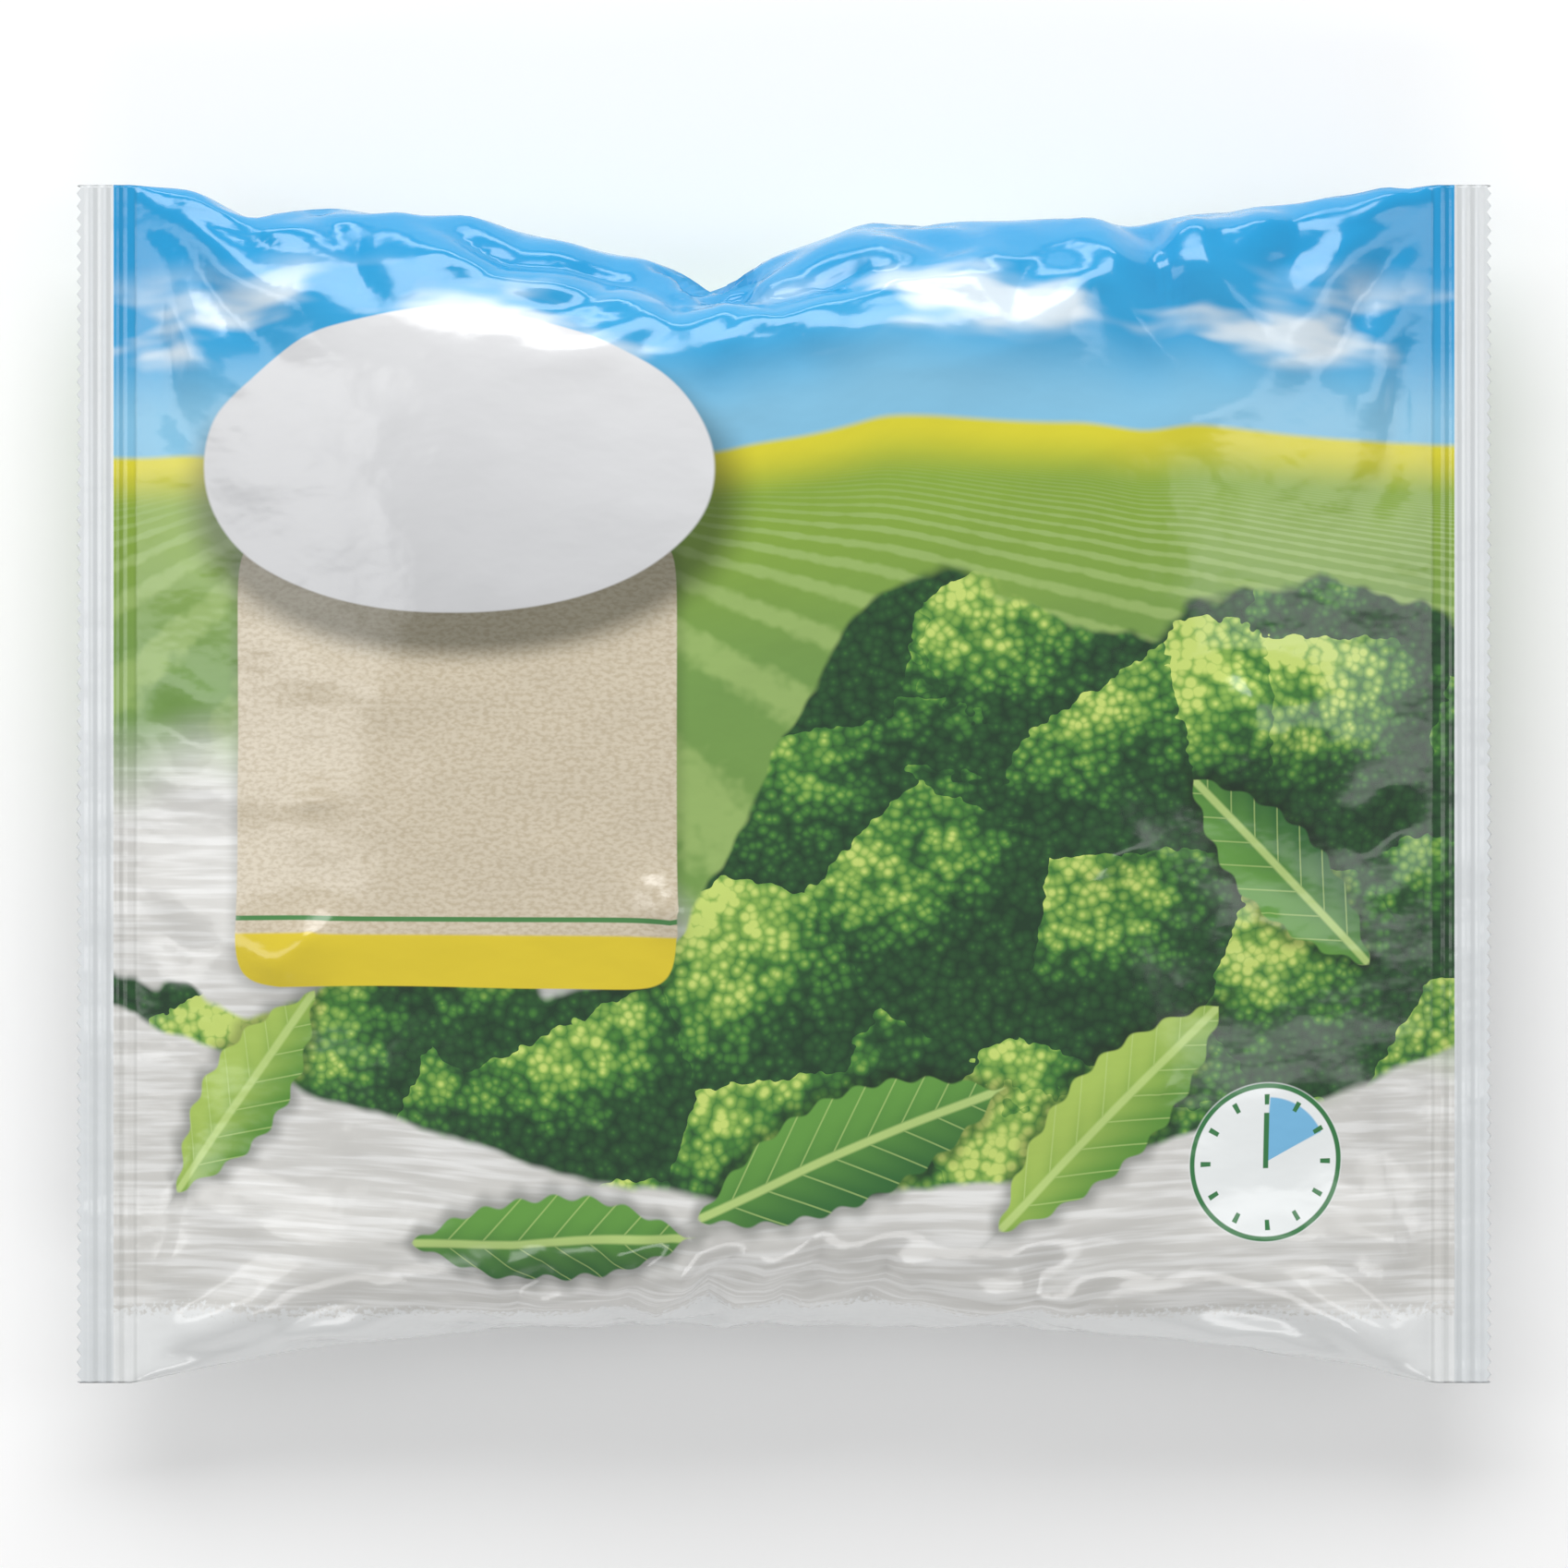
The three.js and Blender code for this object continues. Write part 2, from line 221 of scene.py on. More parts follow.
def web_of_film():
    """The film's outer skin: a flat web, folded round into an empty tube that can be filled."""
    deselect()
    rows = web_rows()
    bpy.ops.mesh.primitive_grid_add(
        x_subdivisions=len(rows) - 1, y_subdivisions=COLUMNS, size=1, calc_uvs=True)
    web = bpy.context.object
    web.name = "film_skin"
    mesh = web.data
    grid = points_of(mesh)
    u = rows[np.rint((grid[:, 0] + 0.5) * (len(rows) - 1)).astype(int)]
    v = np.rint(grid[:, 1] * COLUMNS) * GIRTH / COLUMNS
    corner_vertex = np.empty(len(mesh.loops), int)
    mesh.loops.foreach_get("vertex_index", corner_vertex)
    places = np.column_stack([u / BAG_LENGTH + 0.5, v / GIRTH + 0.5])
    mesh.uv_layers[0].name = "web"
    mesh.uv_layers[0].data.foreach_set("uv", places[corner_vertex].ravel())
    at_tip = np.abs(u) > TIP - 0.01 * MM
    filled = with_lumps(filled_points(u, v))
    filled[at_tip, 2] = SEAL_HEIGHT
    flat = flat_points(u, v)
    flat[at_tip, 2] = SEAL_HEIGHT
    set_points(mesh, flat)
    web.shape_key_add(name="empty")
    web.shape_key_add(name="filled").data.foreach_set("co", filled.ravel())
    make_active(web)
    bpy.ops.object.mode_set(mode="EDIT")
    bpy.ops.mesh.select_all(action="SELECT")
    bpy.ops.mesh.remove_doubles(threshold=0.01 * MM)
    bpy.ops.mesh.normals_make_consistent(inside=False)
    bpy.ops.object.mode_set(mode="OBJECT")
    return web


def fill_bag(web):
    """Cloth simulation: the end seals are drawn in and the slack film is blown up and settles."""
    filled_key = web.data.shape_keys.key_blocks["filled"]
    filled = np.empty(len(web.data.vertices) * 3)
    filled_key.data.foreach_get("co", filled)
    filled = filled.reshape(-1, 3)
    held = web.vertex_groups.new(name="held")
    pocket = np.abs(filled[:, 0]) < END - 0.1 * MM
    resting = pocket & (filled[:, 2] < 0.1 * MM)
    for chosen, weight in ((pocket, 0.015), (resting, 0.3), (~pocket, 1.0)):
        held.add([int(i) for i in np.flatnonzero(chosen)], weight, "REPLACE")
    scene = bpy.context.scene
    filled_key.value = 0
    filled_key.keyframe_insert("value", frame=1)
    filled_key.value = 1
    filled_key.keyframe_insert("value", frame=FILLING_FRAMES)
    cloth = web.modifiers.new("settle", "CLOTH")
    settings = cloth.settings
    settings.vertex_group_mass = "held"
    settings.quality = 6
    settings.mass = 0.01
    settings.tension_stiffness = settings.compression_stiffness = 40
    settings.shear_stiffness = 20
    settings.bending_stiffness = 0.03
    settings.tension_damping = settings.compression_damping = settings.shear_damping = 5
    settings.bending_damping = 0.5
    settings.air_damping = 1
    settings.pin_stiffness = 1
    settings.use_pressure = True
    settings.uniform_pressure_force = 60
    settings.effector_weights.gravity = 0
    cloth.collision_settings.use_collision = False
    cloth.point_cache.frame_start = 1
    cloth.point_cache.frame_end = SETTLING_FRAMES
    for step in range(1, SETTLING_FRAMES + 1):
        scene.frame_set(step)
    settled = web.evaluated_get(bpy.context.evaluated_depsgraph_get())
    mesh = bpy.data.meshes.new_from_object(settled)
    scene.frame_set(1)
    web.animation_data_clear()
    web.data.shape_keys.animation_data_clear()
    web.shape_key_clear()
    web.modifiers.clear()
    old = web.data
    web.data = mesh
    bpy.data.meshes.remove(old)


def rest_on_floor(web):
    """Flattens the back where it lies, and leaves the fin seal's thickness under it."""
    points = points_of(web.data)
    to_fin = np.abs(points[:, 1] + FIN_WIDTH / 2)
    over_fin = 1 - smooth_step(to_fin, 6.5 * MM, 14 * MM)
    lowest = 0.03 * MM + over_fin * (FIN_THICKNESS + 0.05 * MM)
    points[:, 2] = np.maximum(points[:, 2], lowest)
    set_points(web.data, points)


def hold_outline(web):
    """Brings the sides of the sections back to the bag's outline, wrinkles and all."""
    mesh = web.data
    points = points_of(mesh)
    u, v = web_places(mesh)
    rows = [row for row in np.unique(np.round(u, 6)) if abs(row) <= END]
    members = [np.abs(u - row) < 2e-6 for row in rows]
    reach = np.array([(points[here, 1].max(), points[here, 1].min()) for here in members])
    wanted = []
    for row in rows:
        filled = 1 - (abs(row) / END) ** 3
        wanted.append((BAG_WIDTH / 2 - UPPER_NARROWING * filled - pinched(row),
                       LOWER_NARROWING * filled - BAG_WIDTH / 2))
    evened = reach.copy()
    for _ in range(8):
        evened[1:-1] = 0.5 * evened[1:-1] + 0.25 * (evened[:-2] + evened[2:])
    moves = np.array(wanted) - evened
    for here, (high, low), (rise, drop) in zip(members, reach, moves):
        y = points[here, 1]
        rising, falling = smooth_step(y, 0.2 * high, high), smooth_step(-y, -0.2 * low, -low)
        points[here, 1] = y + rise * rising + drop * falling
    set_points(mesh, points)


def smoothed(mesh, values, rounds):
    """Averages each vertex's value with its neighbours', a few times over."""
    ends = np.empty(len(mesh.edges) * 2, int)
    mesh.edges.foreach_get("vertices", ends)
    first, second = ends.reshape(-1, 2).T
    count = np.bincount(ends, minlength=len(values))[:, None]
    for _ in range(rounds):
        total = np.column_stack([
            np.bincount(first, part[second], len(part)) + np.bincount(second, part[first], len(part))
            for part in values.T])
        values = 0.5 * values + 0.5 * total / count
    return values


def floret_names():
    return sorted(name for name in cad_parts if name.startswith("floret_"))


def lie_over_florets(web, spreads):
    """Pushes the film out wherever it would cut into a floret, so their shapes show through it."""
    corners, faces = [], []
    for name in floret_names():
        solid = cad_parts[name]
        start = len(corners)
        corners += [solid.matrix_world @ vertex.co for vertex in solid.data.vertices]
        faces += [[start + i for i in face.vertices] for face in solid.data.polygons]
    solids = BVHTree.FromPolygons(corners, faces)
    points = points_of(web.data)
    for rounds in spreads:
        pushes = np.zeros_like(points)
        for i, point in enumerate(points):
            place, normal, _, _ = solids.find_nearest(Vector(point), 14 * MM)
            if place is None:
                continue
            clear = (Vector(point) - place).dot(normal)
            if clear < FLORET_CLEARANCE:
                pushes[i] = normal * (FLORET_CLEARANCE - clear)
        points = points + smoothed(web.data, pushes, rounds)
    set_points(web.data, points)


def crumple(web):
    """Broad facets all over the front, and the creases that run in from its edges and corners."""
    mesh = web.data
    points = points_of(mesh)
    normals = normals_of(mesh)
    u, v = web_places(mesh)
    front = smooth_step(normals[:, 2], 0.05, 0.4) * smooth_step(END - np.abs(u), 1 * MM, 9 * MM)
    edges = 0.35 + 0.65 * smooth_step(np.abs(points[:, 1]), 50 * MM, 76 * MM)
    deep = np.array([
        abs(noise.noise(Vector((p[0] * 24, p[1] * 40, 3.0))))
        + 0.25 * abs(noise.noise(Vector((p[0] * 52 + p[1] * 30, p[1] * 66, 9.0))))
        for p in points])
    push = (0.28 - deep) * 2 * CRUMPLE * edges
    for start, stop, depth, width in CREASES:
        start, stop = np.array(start) * MM, np.array(stop) * MM
        run = stop - start
        length = math.hypot(*run)
        away = points[:, :2] - start
        along = away @ run / length ** 2
        wander = 0.9 * MM * np.sin(along * 9 + start[0] / MM)
        across = np.abs((away[:, 0] * run[1] - away[:, 1] * run[0]) / length + wander) / (width * MM)
        fade = smooth_step(along, -0.25, 0.12) * smooth_step(-along, -1.15, -0.45)
        valley = np.clip(1 - across, 0, 1) ** 1.4
        shoulder = 0.4 * np.exp(-(across - 1.5) ** 2 * 4)
        push -= depth * MM * fade * (valley - shoulder)
    set_points(mesh, points + normals * (push * front)[:, None])


def web_places(mesh):
    """Each vertex's place (u, v) on the flat web, in metres."""
    corner_vertex = np.empty(len(mesh.loops), int)
    mesh.loops.foreach_get("vertex_index", corner_vertex)
    uv = np.empty(len(mesh.loops) * 2)
    mesh.uv_layers["web"].data.foreach_get("uv", uv)
    places = np.zeros((len(mesh.vertices), 2))
    places[corner_vertex] = uv.reshape(-1, 2) - 0.5
    return places[:, 0] * BAG_LENGTH, places[:, 1] * GIRTH


def crimp_and_cut(web):
    """Presses the ribs into the end seals and cuts their zigzag edge."""
    mesh = web.data
    points = points_of(mesh)
    u, v = web_places(mesh)
    from_rib = (np.abs(u) - FIRST_RIB) / RIB_PITCH
    in_ribs = (from_rib > -0.5) & (from_rib < RIBS - 0.5)
    rib = np.clip(np.cos(2 * math.pi * from_rib), 0, 1) ** 0.8
    points[:, 2] += RIB_HEIGHT * rib * in_ribs
    column = np.rint(v / GIRTH * 4 * TEETH).astype(int)
    valley = column % 2
    near_tip = smooth_step(np.abs(u), TIP - TOOTH_REACH, TIP)
    points[:, 0] -= np.sign(u) * TOOTH_DEPTH * valley * near_tip
    set_points(mesh, points)


def keep_faces(piece, wanted):
    """Deletes every face whose middle, as a place on the web, isn't wanted."""
    mesh = piece.data
    u, v = web_places(mesh)
    make_active(piece)
    bpy.ops.object.mode_set(mode="EDIT")
    bpy.ops.mesh.select_mode(type="FACE")
    bpy.ops.mesh.select_all(action="DESELECT")
    bpy.ops.object.mode_set(mode="OBJECT")
    uv = mesh.uv_layers["web"].data
    for face in mesh.polygons:
        middle_u = sum(uv[i].uv.x for i in face.loop_indices) / len(face.loop_indices) - 0.5
        middle_v = sum(uv[i].uv.y for i in face.loop_indices) / len(face.loop_indices) - 0.5
        face.select = not wanted(middle_u * BAG_LENGTH, middle_v * GIRTH)
    bpy.ops.object.mode_set(mode="EDIT")
    bpy.ops.mesh.delete(type="FACE")
    bpy.ops.object.mode_set(mode="OBJECT")


def copy_of(piece, name):
    make_active(piece)
    bpy.ops.object.duplicate()
    copy = bpy.context.object
    copy.name = name
    return copy


def inner_skin(web):
    """The film's inside: the pocket's skin, one wall further in and facing the other way."""
    inside = copy_of(web, "film_inside")
    mesh = inside.data
    points = points_of(mesh) - normals_of(mesh) * FILM_WALL
    u, v = web_places(mesh)
    points[np.abs(u) > END - 0.1 * MM, 2] = SEAL_HEIGHT
    set_points(mesh, points)
    keep_faces(inside, lambda u, v: abs(u) < END)
    make_active(inside)
    bpy.ops.object.mode_set(mode="EDIT")
    bpy.ops.mesh.select_all(action="SELECT")
    bpy.ops.mesh.remove_doubles(threshold=0.02 * MM)
    bpy.ops.mesh.flip_normals()
    bpy.ops.object.mode_set(mode="OBJECT")
    fewer = inside.modifiers.new("fewer_faces", "DECIMATE")
    fewer.ratio = INNER_DETAIL
    bpy.ops.object.modifier_apply(modifier=fewer.name)
    return inside


def fin_flap(web):
    """The two sealed plies of the fin, folded flat against the back."""
    flap = copy_of(web, "film_fin")
    keep_faces(flap, lambda u, v: v < FIN_WIDTH - GIRTH / 2)
    mesh = flap.data
    set_points(mesh, points_of(mesh) + normals_of(mesh) * 0.03 * MM)
    make_active(flap)
    wall = flap.modifiers.new("plies", "SOLIDIFY")
    wall.thickness = FIN_THICKNESS
    wall.offset = 1
    bpy.ops.object.modifier_apply(modifier=wall.name)
    return flap


def film():
    web = web_of_film()
    fill_bag(web)
    hold_outline(web)
    lie_over_florets(web, (60, 40, 24, 10, 4))
    hold_outline(web)
    rest_on_floor(web)
    make_active(web)
    smoother = web.modifiers.new("smoother", "SUBSURF")
    smoother.levels = smoother.render_levels = 1
    smoother.uv_smooth = "NONE"
    bpy.ops.object.modifier_apply(modifier=smoother.name)
    crumple(web)
    lie_over_florets(web, (12, 5, 0))
    rest_on_floor(web)
    inside = inner_skin(web)
    crimp_and_cut(web)
    flap = fin_flap(web)
    for piece, material in ((web, printed_film()), (inside, bare_film()), (flap, printed_film())):
        piece.data.materials.clear()
        piece.data.materials.append(material)
    deselect()
    for piece in (inside, flap, web):
        piece.select_set(True)
    bpy.context.view_layer.objects.active = web
    bpy.ops.object.join()
    web.name = "film_bag"
    bpy.ops.object.shade_smooth()
    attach(web, "root")
    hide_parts("film")
    return web


# ---- Materials: a small kit for node trees -------------------------------------------------------

class Shader:
    """Makes a material's nodes. A value given to a node is a number, a colour or another's output."""

    def __init__(self, name):
        self.material = bpy.data.materials.new(name)
        self.material.use_nodes = True
        self.tree = self.material.node_tree
        self.surface = self.tree.nodes["Principled BSDF"]

    def node(self, kind, inputs=None, **settings):
        made = self.tree.nodes.new("ShaderNode" + kind)
        for name, value in settings.items():
            setattr(made, name, value)
        for name, value in (inputs or {}).items():
            self.give(made.inputs[name], value)
        return made

    def give(self, socket, value):
        if isinstance(value, bpy.types.NodeSocket):
            self.tree.links.new(value, socket)
        else:
            socket.default_value = value

    def maths(self, operation, *values):
        made = self.tree.nodes.new("ShaderNodeMath")
        made.operation = operation
        for socket, value in zip(made.inputs, values):
            self.give(socket, value)
        return made.outputs[0]

    def add(self, a, b):
        return self.maths("ADD", a, b)

    def less(self, a, b):
        return self.maths("SUBTRACT", a, b)

    def times(self, a, b):
        return self.maths("MULTIPLY", a, b)

    def step(self, value, low, high):
        """0 below low and 1 above high, smooth between them. low may be the greater one."""
        made = self.node("MapRange", interpolation_type="SMOOTHSTEP")
        falling = isinstance(low, (int, float)) and isinstance(high, (int, float)) and low > high
        ends = (high, low, 1.0, 0.0) if falling else (low, high, 0.0, 1.0)
        for socket, given in zip(made.inputs, (value, *ends)):
            self.give(socket, given)
        return made.outputs[0]

    def between(self, value, low, high, soft):
        rising = self.step(value, low - soft, low + soft)
        return self.times(rising, self.step(value, high + soft, high - soft))

    def mix(self, share, below, above):
        made = self.node("Mix", data_type="RGBA")
        self.give(made.inputs[0], share)
        self.give(made.inputs[6], below)
        self.give(made.inputs[7], above)
        return made.outputs[2]

    def darken(self, colour, by):
        made = self.node("Mix", data_type="RGBA", blend_type="MULTIPLY")
        self.give(made.inputs[0], by)
        self.give(made.inputs[6], colour)
        self.give(made.inputs[7], (0.12, 0.14, 0.12, 1))
        return made.outputs[2]

    def point(self, x, y, z=0.0):
        return self.node("CombineXYZ", {"X": x, "Y": y, "Z": z}).outputs[0]

    def noise(self, place, scale, detail=2.0, output="Fac"):
        made = self.node("TexNoise", {"Vector": place, "Scale": scale, "Detail": detail})
        return made.outputs[output]

    def cells(self, place, scale, feature="F1", randomness=1.0):
        return self.node("TexVoronoi", {"Vector": place, "Scale": scale, "Randomness": randomness},
                         feature=feature)

    def bump(self, height, distance, strength, normal=None):
        given = {"Height": height, "Distance": distance, "Strength": strength}
        if normal is not None:
            given["Normal"] = normal
        return self.node("Bump", given).outputs[0]


def paint(red, green, blue):
    """A printed colour given as 0 to 255 screen values."""
    def linear(value):
        share = value / 255
        return share / 12.92 if share <= 0.04045 else ((share + 0.055) / 1.055) ** 2.4
    return (linear(red), linear(green), linear(blue), 1.0)


# ---- The print on the film -----------------------------------------------------------------------
# The print is laid out in millimetres on the flat web: x along the bag, y up from the front's middle.

def sky_print(s, x, y):
    place = s.point(s.times(x, 0.35), y)
    deep = paint(16, 150, 208)
    colour = s.mix(s.step(y, 92, 70), deep, paint(44, 158, 212))
    colour = s.mix(s.step(y, 74, 59), colour, paint(128, 190, 222))
    puffs = s.noise(place, 0.075, 3.0)
    line = s.add(72, s.times(s.noise(s.point(x, 0), 0.03, 1.0), 14))
    height = s.less(y, line)
    window = s.times(s.step(height, -12, -8), s.step(height, 8, -4))
    cloud = s.times(s.step(puffs, 0.48, 0.6), window)
    return s.mix(s.times(cloud, 0.9), colour, paint(226, 236, 242))


def field_print(s, x, y, horizon):
    depth = s.maths("MAXIMUM", s.less(horizon, y), 1.2)
    far = s.step(depth, 9, 0.5)
    near = s.mix(s.step(depth, 4, 40), paint(134, 166, 54), paint(112, 150, 72))
    furrow = s.maths("SINE", s.times(s.maths("DIVIDE", s.add(x, 64), depth), 9.0))
    worn = s.add(furrow, s.times(s.less(s.noise(s.point(x, y), 0.35, 1.0), 0.5), 1.6))
    strength = s.times(s.step(depth, 3, 16), 0.75)
    near = s.mix(s.times(s.step(worn, -0.2, 0.9), strength), near, paint(156, 184, 106))
    return s.mix(far, near, paint(214, 206, 44))


def green_heads(s, x, y, size, shift, bright):
    """Round, beaded green heads packed side by side."""
    place = s.point(s.add(x, shift), s.times(s.add(y, shift), 1.06))
    wavy = s.node("VectorMath", {0: place}, operation="ADD")
    wobble = s.noise(place, 0.35, 1.0, "Color")
    s.give(wavy.inputs[1], s.node("VectorMath", {0: wobble, "Scale": 3.2}, operation="SCALE").outputs[0])
    cells = s.cells(wavy.outputs[0], 1 / size, randomness=0.72)
    away = cells.outputs["Distance"]
    offset = s.node("VectorMath", {0: wavy.outputs[0], 1: cells.outputs["Position"]},
                    operation="SUBTRACT").outputs[0]
    across = s.node("SeparateXYZ", {0: offset})
    lit = s.add(s.times(across.outputs[0], -0.021), s.times(across.outputs[1], 0.035))
    beads = s.cells(place, 0.62).outputs["Distance"]
    florets = s.cells(place, 0.17).outputs["Distance"]
    height = s.less(1.0, s.times(s.maths("POWER", away, 2.0), 2.2))
    tone = s.add(lit, s.times(height, 0.42))
    tone = s.add(tone, s.times(s.less(0.45, beads), 0.62))
    tone = s.add(tone, s.times(s.less(0.45, florets), 0.5))
    tint = s.node("SeparateXYZ", {0: cells.outputs["Color"]}).outputs[0]
    tone = s.add(tone, s.times(s.less(tint, 0.5), 0.28))
    shaded = s.add(0.2, s.times(s.less(0.45, beads), 0.5))
    tone = s.maths("MAXIMUM", s.add(tone, bright), shaded)
    ramp = s.node("ValToRGB", {"Fac": tone})
    stops = ramp.color_ramp.elements
    stops[0].position, stops[0].color = 0.0, paint(16, 54, 28)
    stops[1].position, stops[1].color = 1.0, paint(196, 216, 112)
    stops.new(0.3).color = paint(34, 82, 38)
    stops.new(0.55).color = paint(66, 126, 48)
    stops.new(0.8).color = paint(132, 174, 74)
    return ramp.outputs[0]


def leaf(s, x, y, place, angle, length, width, shade, under):
    """One pointed leaf with veins, laid over what is under it."""
    cos, sin = math.cos(angle), math.sin(angle)
    from_x, from_y = s.less(x, place[0]), s.less(y, place[1])
    along = s.add(s.times(from_x, cos), s.times(from_y, sin))
    across = s.less(s.times(from_y, cos), s.times(from_x, sin))
    share = s.times(along, 1 / length)
    reach = s.times(s.times(share, s.less(1.0, share)), 4 * width)
    ripple = s.times(s.maths("SINE", s.times(along, 1.1)), 0.5)
    inside = s.less(s.add(reach, ripple), s.maths("ABSOLUTE", across))
    mask = s.times(s.step(inside, 0.0, 0.5), s.step(share, 0.0, 0.02))
    vein_at = s.less(along, s.times(s.maths("ABSOLUTE", across), 1.1))
    vein = s.maths("ABSOLUTE", s.maths("SINE", s.times(vein_at, 0.55)))
    middle = s.step(s.maths("ABSOLUTE", across), 0.9, 0.35)
    pale = s.maths("MAXIMUM", s.times(s.step(vein, 0.16, 0.04), 0.55), middle)
    low, high = shade
    colour = s.mix(s.step(s.add(across, s.times(vein, 2.0)), -width, width), low, high)
    colour = s.mix(s.times(pale, 0.8), colour, paint(190, 214, 130))
    return s.mix(mask, s.darken(under, s.times(s.step(inside, -3.0, 0.3), 0.55)), colour)


def panel(s, x, y, middle, half_size, power):
    """A rounded panel's edge distance: negative inside, in millimetres or so."""
    across = s.maths("POWER", s.times(s.maths("ABSOLUTE", s.less(x, middle[0])), 1 / half_size[0]), power)
    up = s.maths("POWER", s.times(s.maths("ABSOLUTE", s.less(y, middle[1])), 1 / half_size[1]), power)
    size = s.maths("POWER", s.add(across, up), 1 / power)
    return s.times(s.less(size, 1.0), min(half_size))


def dial(s, x, y, middle, radius, under):
    """A plain kitchen-timer dial: a disc, a ring, twelve ticks and a coloured sector."""
    from_x, from_y = s.less(x, middle[0]), s.less(y, middle[1])
    away = s.maths("SQRT", s.add(s.times(from_x, from_x), s.times(from_y, from_y)))
    turn = s.maths("ARCTAN2", from_x, from_y)
    colour = s.mix(s.step(away, radius + 0.2, radius - 0.2), under, paint(236, 240, 240))
    sector = s.times(s.between(turn, 0.05, 1.1, 0.02), s.step(away, radius - 2.2, radius - 2.6))
    colour = s.mix(sector, colour, paint(120, 186, 226))
    tick = s.step(s.maths("COSINE", s.times(turn, 12.0)), 0.86, 0.93)
    tick = s.times(tick, s.between(away, radius - 3.6, radius - 1.9, 0.1))
    ring_line = s.between(away, radius - 0.9, radius - 0.1, 0.12)
    marks = s.maths("MAXIMUM", tick, ring_line)
    hand = s.step(s.maths("ABSOLUTE", from_x), 0.55, 0.35)
    hand = s.times(hand, s.between(from_y, -1.0, radius * 0.62, 0.1))
    marks = s.maths("MAXIMUM", marks, hand)
    return s.mix(marks, colour, paint(48, 120, 66))


def front_print(s, x, y):
    place = s.point(x, y)
    horizon = s.add(55, s.times(s.maths("SINE", s.times(x, 0.022)), 1.6))
    colour = s.mix(s.step(s.less(y, horizon), -0.6, 0.8), field_print(s, x, y, horizon), sky_print(s, x, y))
    blur = s.noise(place, 0.05, 0.0)
    # pale board under the heads, at the lower left and right
    board_y = s.add(s.times(s.step(x, -60, 20), -50), s.times(blur, 14))
    grain = s.noise(s.point(s.times(x, 0.05), s.times(y, 0.7)), 1.0, 2.0)
    board = s.mix(s.step(grain, 0.4, 0.68), paint(206, 205, 201), paint(228, 228, 226))
    colour = s.mix(s.step(s.less(y, board_y), 6, -10), colour, board)
    # the pile of heads
    uneven = s.times(s.maths("SINE", s.times(x, 0.09)), 5)
    pile_top = s.add(s.times(s.step(x, -34, 24), 62), s.add(-32, uneven))
    ragged = s.times(s.less(s.noise(place, 0.07, 2.0), 0.5), 16)
    in_pile = s.step(s.less(s.add(y, ragged), pile_top), 1.0, -1.0)
    floor_line = s.add(-64, s.times(s.maths("POWER", s.times(s.less(x, 8), 0.011), 2.0), 16))
    in_pile = s.times(in_pile, s.step(s.less(s.add(y, s.times(ragged, 0.35)), floor_line), -0.8, 0.8))
    colour = s.mix(in_pile, colour, green_heads(s, x, y, 30.0, 7.0, 0.26))
    greens = (paint(40, 98, 44), paint(96, 152, 62))
    light_greens = (paint(84, 140, 50), paint(168, 196, 90))
    leaves = [
        ((-14, -66), 0.35, 52, 8.5, greens), ((34, -70), 0.75, 50, 8.0, light_greens),
        ((96, -30), 2.35, 44, 7.5, greens), ((-100, -68), 0.95, 42, 7.0, light_greens),
        ((-60, -74), 0.12, 46, 7.0, greens),
    ]
    for place_at, angle, length, width, shade in leaves:
        colour = leaf(s, x, y, place_at, angle, length, width, shade, colour)
    # white foot of the front, with a brushed upper edge
    speckle = s.times(s.less(s.noise(place, 1.1, 2.0), 0.5), 9)
    colour = s.mix(s.step(s.add(y, speckle), -86, -88), colour, paint(228, 230, 230))
    return colour


def labels_print(s, x, y, colour):
    """A bare card with a coloured foot, a bare plaque over it, and a plain dial."""
    card = panel(s, x, y, (-53, 4), (36, 37), 14.0)
    colour = s.darken(colour, s.times(s.step(card, 2.4, -0.4), 0.3))
    fibres = s.noise(s.point(s.times(x, 0.6), y), 1.6, 1.0)
    cream = s.mix(s.step(fibres, 0.35, 0.7), paint(208, 197, 175), paint(192, 179, 154))
    foot = s.step(y, -24.4, -25.0)
    cream = s.mix(foot, cream, paint(216, 194, 44))
    cream = s.mix(s.between(y, -22.6, -21.8, 0.12), cream, paint(70, 130, 70))
    colour = s.mix(s.step(card, 0.15, -0.15), colour, cream)
    shade = panel(s, x, s.add(y, 3.0), (-52, 50), (42.5, 24.5), 2.1)
    colour = s.darken(colour, s.times(s.step(shade, 4.0, -1.0), 0.75))
    plaque = panel(s, x, y, (-53, 52), (42, 24), 2.1)
    metal = s.mix(s.step(s.add(s.times(x, 0.4), y), 70, -10), paint(224, 225, 227), paint(192, 193, 195))
    colour = s.mix(s.step(plaque, 0.2, -0.2), colour, metal)
    return dial(s, x, y, (78, -62), 13.0, colour)


def back_print(s, x, y):
    """The back: the sky and the white foot meet pale green, around bare panels."""
    from_back = s.less(200, s.maths("ABSOLUTE", y))
    colour = s.mix(s.step(y, 100, 128), paint(28, 148, 212), paint(196, 220, 176))
    colour = s.mix(s.step(y, 0, -1), colour, paint(228, 230, 230))
    signed = s.times(from_back, s.maths("SIGN", y))
    bare = panel(s, x, signed, (0, 44), (88, 32), 12.0)
    colour = s.mix(s.step(bare, 0.2, -0.2), colour, paint(236, 237, 234))
    colour = s.mix(s.between(bare, -1.6, -1.1, 0.1), colour, paint(70, 130, 70))
    lower = panel(s, x, signed, (0, -48), (88, 26), 12.0)
    colour = s.mix(s.step(lower, 0.2, -0.2), colour, paint(226, 232, 220))
    return s.mix(s.between(lower, -1.6, -1.1, 0.1), colour, paint(70, 130, 70))


